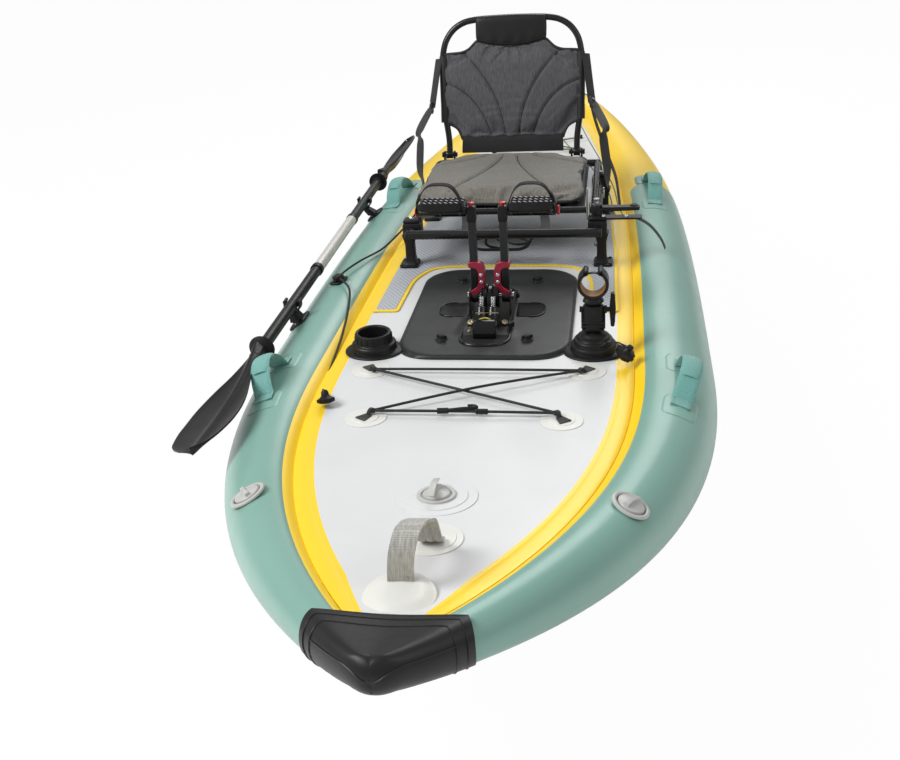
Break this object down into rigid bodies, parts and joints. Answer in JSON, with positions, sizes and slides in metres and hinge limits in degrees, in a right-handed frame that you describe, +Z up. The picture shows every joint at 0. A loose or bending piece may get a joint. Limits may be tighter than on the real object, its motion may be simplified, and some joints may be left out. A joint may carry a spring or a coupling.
{
  "type": "inflatable pedal boat",
  "caption": "Inflatable pedal boat with a push-pedal fin drive, framed seat, rod holder, paddle and rudder.",
  "frame": {"origin": "on the boat's centre line, on the flat bottom of the floor, 2.03 m behind the bow tip", "axes": "+Z up, -Y towards the bow, +X towards port (the paddler's left)"},
  "size_m": [1.0811, 3.899, 1.1442],
  "materials": {
    "hull_teal": "satin",
    "hull_yellow": "satin",
    "floor_grey": "satin",
    "cap_rubber": "satin",
    "pad_foam": "matte",
    "pad_edge": "matte",
    "plastic_black": "satin",
    "plastic_gloss": "gloss",
    "webbing_teal": "matte",
    "webbing_grey": "matte",
    "patch_white": "satin",
    "cord_black": "matte",
    "cord_lime": "matte",
    "silver": "satin",
    "tube_aluminium": "satin",
    "cushion": "matte",
    "mesh_black": "matte",
    "trim_lime": "gloss",
    "crank_burgundy": "satin",
    "button_red": "gloss",
    "fin_black": "satin",
    "paddle_mix": "satin"
  },
  "bodies": {
    "hull": {"tube_port": "hull_teal", "tube_starboard": "hull_teal", "stern_tubes": "hull_yellow", "deck_floor": "floor_grey", "deck_bands": "hull_yellow", "bow_cap": "cap_rubber", "stern_cap": "cap_rubber", "foam_pad": "pad_foam", "pad_border": "pad_edge", "drive_well": "plastic_black", "well_knobs": "plastic_black", "side_handles": "webbing_teal", "bow_handle": "webbing_grey", "deck_patches": "patch_white", "valve_bodies": "silver", "valve_caps": "plastic_black", "bungee_fittings": "plastic_black", "bungee_cord": "cord_black", "rear_bungee": "cord_lime", "cup_base": "plastic_black", "holder_base": "plastic_black", "tether_fittings": "plastic_black", "tether_cords": "cord_black", "paddle_clips": "plastic_black", "steering_lines": "cord_lime", "rudder_bracket": "plastic_black", "seat_frame": "tube_aluminium", "seat_feet": "plastic_black", "seat_pad": "cushion", "hinge_brackets": "silver", "lower_straps": "webbing_grey", "steering_post": "silver", "drive_housing": "plastic_gloss", "trim_ring": "trim_lime", "drive_shafts": "silver"},
    "backrest": {"backrest_frame": "tube_aluminium", "backrest_panel": "cushion", "headrest_band": "mesh_black", "lumbar_band": "mesh_black", "upper_straps": "webbing_grey", "strap_buckles": "plastic_black"},
    "steering_lever": {"steering_lever": "plastic_black"},
    "rudder_head": {"rudder_head": "plastic_black"},
    "rudder_blade": {"rudder_blade": "plastic_gloss"},
    "swing_port": {"crank_port": "crank_burgundy", "drum_port": "plastic_gloss", "arm_port": "plastic_gloss"},
    "swing_starboard": {"crank_starboard": "crank_burgundy", "drum_starboard": "plastic_gloss", "arm_starboard": "plastic_gloss"},
    "button_port": {"button_port": "button_red"},
    "button_starboard": {"button_starboard": "button_red"},
    "pedal_port": {"pedal_port": "plastic_gloss"},
    "pedal_starboard": {"pedal_starboard": "plastic_gloss"},
    "fin_front": {"fin_front": "fin_black"},
    "fin_rear": {"fin_rear": "fin_black"},
    "holder_arm": {"holder_arm": "plastic_black"},
    "holder_knob": {"holder_knob": "plastic_black"},
    "holder_ring": {"holder_ring": "plastic_black"},
    "paddle": {"paddle": "paddle_mix"}
  },
  "joints": [
    {"name": "backrest_fold", "type": "hinge", "parent": "hull", "child": "backrest", "pos_m": [0, 0.2, 0.376], "axis": [1, 0, 0], "range_deg": [-18, 58]},
    {"name": "steering_turn", "type": "hinge", "parent": "hull", "child": "steering_lever", "pos_m": [0.245, -0.3, 0.35], "axis": [0, 0, 1], "range_deg": [-40, 40]},
    {"name": "rudder_turn", "type": "hinge", "parent": "hull", "child": "rudder_head", "pos_m": [0, 1.756, 0.228], "axis": [0, 0, 1], "range_deg": [-42, 42]},
    {"name": "rudder_kick", "type": "hinge", "parent": "rudder_head", "child": "rudder_blade", "pos_m": [0, 1.796, 0.214], "axis": [1, 0, 0], "range_deg": [0, 100]},
    {"name": "crank_port_swing", "type": "hinge", "parent": "hull", "child": "swing_port", "pos_m": [0.036, -0.64, 0.253], "axis": [1, 0, 0], "range_deg": [-28, 28]},
    {"name": "crank_starboard_swing", "type": "hinge", "parent": "hull", "child": "swing_starboard", "pos_m": [-0.036, -0.64, 0.253], "axis": [1, 0, 0], "range_deg": [-28, 28]},
    {"name": "button_port_press", "type": "slide", "parent": "swing_port", "child": "button_port", "axis": [0, 0, -1], "range_m": [0, 0.004], "stiffness_N_per_m": 400},
    {"name": "button_starboard_press", "type": "slide", "parent": "swing_starboard", "child": "button_starboard", "axis": [0, 0, -1], "range_m": [0, 0.004], "stiffness_N_per_m": 400},
    {"name": "pedal_port_spin", "type": "hinge", "parent": "swing_port", "child": "pedal_port", "pos_m": [0.106, -0.64, 0.465], "axis": [1, 0, 0], "continuous": true},
    {"name": "pedal_starboard_spin", "type": "hinge", "parent": "swing_starboard", "child": "pedal_starboard", "pos_m": [-0.106, -0.64, 0.465], "axis": [1, 0, 0], "continuous": true},
    {"name": "fin_front_sweep", "type": "hinge", "parent": "hull", "child": "fin_front", "pos_m": [0, -0.796, -0.03], "axis": [0, 1, 0], "range_deg": [-67.3, 67.3]},
    {"name": "fin_rear_sweep", "type": "hinge", "parent": "hull", "child": "fin_rear", "pos_m": [0, -0.652, -0.03], "axis": [0, 1, 0], "range_deg": [-67.3, 67.3]},
    {"name": "holder_swivel", "type": "hinge", "parent": "hull", "child": "holder_arm", "pos_m": [0.25, -0.84, 0.265], "axis": [0, 0, 1], "range_deg": [-70, 70]},
    {"name": "holder_tilt", "type": "hinge", "parent": "holder_arm", "child": "holder_ring", "pos_m": [0.25, -0.84, 0.302], "axis": [1, 0, 0], "range_deg": [-60, 60]},
    {"name": "holder_knob_turn", "type": "hinge", "parent": "holder_arm", "child": "holder_knob", "pos_m": [0.295, -0.84, 0.302], "axis": [1, 0, 0], "continuous": true},
    {"name": "paddle_lift", "type": "slide", "parent": "hull", "child": "paddle", "axis": [0, 0, 1], "range_m": [0, 0.25]}
  ],
  "couplings": [
    {"joint": "crank_starboard_swing", "follows": "crank_port_swing", "ratio": -1},
    {"joint": "fin_front_sweep", "follows": "crank_port_swing", "ratio": 2.4},
    {"joint": "fin_rear_sweep", "follows": "crank_port_swing", "ratio": -2.4},
    {"joint": "rudder_turn", "follows": "steering_turn", "ratio": 1}
  ]
}
